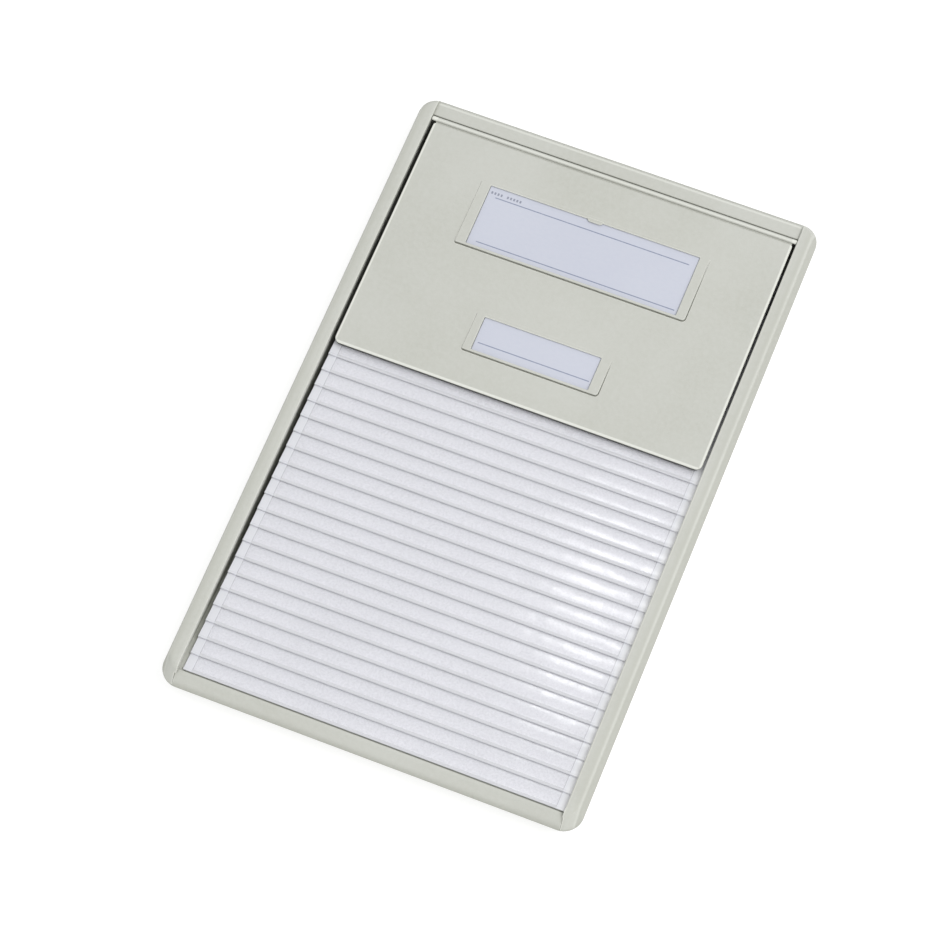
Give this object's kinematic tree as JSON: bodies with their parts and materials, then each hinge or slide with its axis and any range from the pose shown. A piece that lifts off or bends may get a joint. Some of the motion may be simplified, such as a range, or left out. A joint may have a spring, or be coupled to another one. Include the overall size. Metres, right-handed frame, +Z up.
{
  "type": "flat card index",
  "caption": "Shallow desk card index: a tray between two raised side rails, a hinged cover with two label windows, and overlapping clear card pockets that flip up in turn.",
  "frame": {"origin": "centre of the body in plan, on the plane the rubber feet stand on", "axes": "+Z up; +Y from the front lip towards the rear bar and the cover's hinge; +X to the right when seen from the front lip; every hinge axis is parallel to X"},
  "size_m": [0.1436, 0.2294, 0.018],
  "materials": {
    "grey_plastic": "fine-grained",
    "rubber": "matte",
    "label": "matte",
    "clear_film": "clear glossy",
    "card": "matte"
  },
  "bodies": {
    "tray": {"tray_base": "grey_plastic", "side_rail_left": "grey_plastic", "side_rail_right": "grey_plastic", "foot_rear_left": "rubber", "foot_rear_right": "rubber", "foot_front_left": "rubber", "foot_front_right": "rubber"},
    "cover": {"cover": "grey_plastic", "title_label_card": "label", "name_label_card": "label"},
    "leaf_01": {"pocket_01": "clear_film", "card_01": "card"},
    "leaf_02": {"pocket_02": "clear_film", "card_02": "card"},
    "leaf_03": {"pocket_03": "clear_film", "card_03": "card"},
    "leaf_04": {"pocket_04": "clear_film", "card_04": "card"},
    "leaf_05": {"pocket_05": "clear_film", "card_05": "card"},
    "leaf_06": {"pocket_06": "clear_film", "card_06": "card"},
    "leaf_07": {"pocket_07": "clear_film", "card_07": "card"},
    "leaf_08": {"pocket_08": "clear_film", "card_08": "card"},
    "leaf_09": {"pocket_09": "clear_film", "card_09": "card"},
    "leaf_10": {"pocket_10": "clear_film", "card_10": "card"},
    "leaf_11": {"pocket_11": "clear_film", "card_11": "card"},
    "leaf_12": {"pocket_12": "clear_film", "card_12": "card"},
    "leaf_13": {"pocket_13": "clear_film", "card_13": "card"},
    "leaf_14": {"pocket_14": "clear_film", "card_14": "card"},
    "leaf_15": {"pocket_15": "clear_film", "card_15": "card"},
    "leaf_16": {"pocket_16": "clear_film", "card_16": "card"},
    "leaf_17": {"pocket_17": "clear_film", "card_17": "card"},
    "leaf_18": {"pocket_18": "clear_film", "card_18": "card"},
    "leaf_19": {"pocket_19": "clear_film", "card_19": "card"},
    "leaf_20": {"pocket_20": "clear_film", "card_20": "card"},
    "leaf_21": {"pocket_21": "clear_film", "card_21": "card"}
  },
  "joints": [
    {"name": "cover_hinge", "type": "hinge", "parent": "tray", "child": "cover", "pos_m": [0, 0.10516, 0.0165], "axis": [-1, 0, 0], "range_deg": [0, 124]},
    {"name": "leaf_hinge_01", "type": "hinge", "parent": "tray", "child": "leaf_01", "pos_m": [0, 0.09771, 0.004], "axis": [-1, 0, 0], "range_deg": [0, 105]},
    {"name": "leaf_hinge_02", "type": "hinge", "parent": "tray", "child": "leaf_02", "pos_m": [0, 0.09171, 0.004], "axis": [-1, 0, 0], "range_deg": [0, 105]},
    {"name": "leaf_hinge_03", "type": "hinge", "parent": "tray", "child": "leaf_03", "pos_m": [0, 0.08571, 0.004], "axis": [-1, 0, 0], "range_deg": [0, 105]},
    {"name": "leaf_hinge_04", "type": "hinge", "parent": "tray", "child": "leaf_04", "pos_m": [0, 0.07971, 0.004], "axis": [-1, 0, 0], "range_deg": [0, 105]},
    {"name": "leaf_hinge_05", "type": "hinge", "parent": "tray", "child": "leaf_05", "pos_m": [0, 0.07371, 0.004], "axis": [-1, 0, 0], "range_deg": [0, 105]},
    {"name": "leaf_hinge_06", "type": "hinge", "parent": "tray", "child": "leaf_06", "pos_m": [0, 0.06771, 0.004], "axis": [-1, 0, 0], "range_deg": [0, 105]},
    {"name": "leaf_hinge_07", "type": "hinge", "parent": "tray", "child": "leaf_07", "pos_m": [0, 0.06171, 0.004], "axis": [-1, 0, 0], "range_deg": [0, 105]},
    {"name": "leaf_hinge_08", "type": "hinge", "parent": "tray", "child": "leaf_08", "pos_m": [0, 0.05571, 0.004], "axis": [-1, 0, 0], "range_deg": [0, 105]},
    {"name": "leaf_hinge_09", "type": "hinge", "parent": "tray", "child": "leaf_09", "pos_m": [0, 0.04971, 0.004], "axis": [-1, 0, 0], "range_deg": [0, 105]},
    {"name": "leaf_hinge_10", "type": "hinge", "parent": "tray", "child": "leaf_10", "pos_m": [0, 0.04371, 0.004], "axis": [-1, 0, 0], "range_deg": [0, 105]},
    {"name": "leaf_hinge_11", "type": "hinge", "parent": "tray", "child": "leaf_11", "pos_m": [0, 0.03771, 0.004], "axis": [-1, 0, 0], "range_deg": [0, 105]},
    {"name": "leaf_hinge_12", "type": "hinge", "parent": "tray", "child": "leaf_12", "pos_m": [0, 0.03171, 0.004], "axis": [-1, 0, 0], "range_deg": [0, 105]},
    {"name": "leaf_hinge_13", "type": "hinge", "parent": "tray", "child": "leaf_13", "pos_m": [0, 0.02571, 0.004], "axis": [-1, 0, 0], "range_deg": [0, 105]},
    {"name": "leaf_hinge_14", "type": "hinge", "parent": "tray", "child": "leaf_14", "pos_m": [0, 0.01971, 0.004], "axis": [-1, 0, 0], "range_deg": [0, 105]},
    {"name": "leaf_hinge_15", "type": "hinge", "parent": "tray", "child": "leaf_15", "pos_m": [0, 0.01371, 0.004], "axis": [-1, 0, 0], "range_deg": [0, 105]},
    {"name": "leaf_hinge_16", "type": "hinge", "parent": "tray", "child": "leaf_16", "pos_m": [0, 0.00771, 0.004], "axis": [-1, 0, 0], "range_deg": [0, 105]},
    {"name": "leaf_hinge_17", "type": "hinge", "parent": "tray", "child": "leaf_17", "pos_m": [0, 0.00171, 0.004], "axis": [-1, 0, 0], "range_deg": [0, 105]},
    {"name": "leaf_hinge_18", "type": "hinge", "parent": "tray", "child": "leaf_18", "pos_m": [0, -0.00429, 0.004], "axis": [-1, 0, 0], "range_deg": [0, 105]},
    {"name": "leaf_hinge_19", "type": "hinge", "parent": "tray", "child": "leaf_19", "pos_m": [0, -0.01029, 0.004], "axis": [-1, 0, 0], "range_deg": [0, 105]},
    {"name": "leaf_hinge_20", "type": "hinge", "parent": "tray", "child": "leaf_20", "pos_m": [0, -0.01629, 0.004], "axis": [-1, 0, 0], "range_deg": [0, 105]},
    {"name": "leaf_hinge_21", "type": "hinge", "parent": "tray", "child": "leaf_21", "pos_m": [0, -0.02229, 0.004], "axis": [-1, 0, 0], "range_deg": [0, 105]}
  ],
  "couplings": [
    {"joint": "leaf_hinge_01", "follows": "cover_hinge", "ratio": 0.84},
    {"joint": "leaf_hinge_02", "follows": "cover_hinge", "ratio": 0.804},
    {"joint": "leaf_hinge_03", "follows": "cover_hinge", "ratio": 0.768},
    {"joint": "leaf_hinge_04", "follows": "cover_hinge", "ratio": 0.732},
    {"joint": "leaf_hinge_05", "follows": "cover_hinge", "ratio": 0.696},
    {"joint": "leaf_hinge_06", "follows": "cover_hinge", "ratio": 0.66},
    {"joint": "leaf_hinge_07", "follows": "cover_hinge", "ratio": 0.624},
    {"joint": "leaf_hinge_08", "follows": "cover_hinge", "ratio": 0.588},
    {"joint": "leaf_hinge_09", "follows": "cover_hinge", "ratio": 0.552},
    {"joint": "leaf_hinge_10", "follows": "cover_hinge", "ratio": 0.516},
    {"joint": "leaf_hinge_11", "follows": "cover_hinge", "ratio": 0.48},
    {"joint": "leaf_hinge_12", "follows": "cover_hinge", "ratio": 0.444},
    {"joint": "leaf_hinge_13", "follows": "cover_hinge", "ratio": 0.408},
    {"joint": "leaf_hinge_14", "follows": "cover_hinge", "ratio": 0.372},
    {"joint": "leaf_hinge_15", "follows": "cover_hinge", "ratio": 0.336},
    {"joint": "leaf_hinge_16", "follows": "cover_hinge", "ratio": 0.3},
    {"joint": "leaf_hinge_17", "follows": "cover_hinge", "ratio": 0.264},
    {"joint": "leaf_hinge_18", "follows": "cover_hinge", "ratio": 0.228},
    {"joint": "leaf_hinge_19", "follows": "cover_hinge", "ratio": 0.192},
    {"joint": "leaf_hinge_20", "follows": "cover_hinge", "ratio": 0.156},
    {"joint": "leaf_hinge_21", "follows": "cover_hinge", "ratio": 0.12}
  ]
}
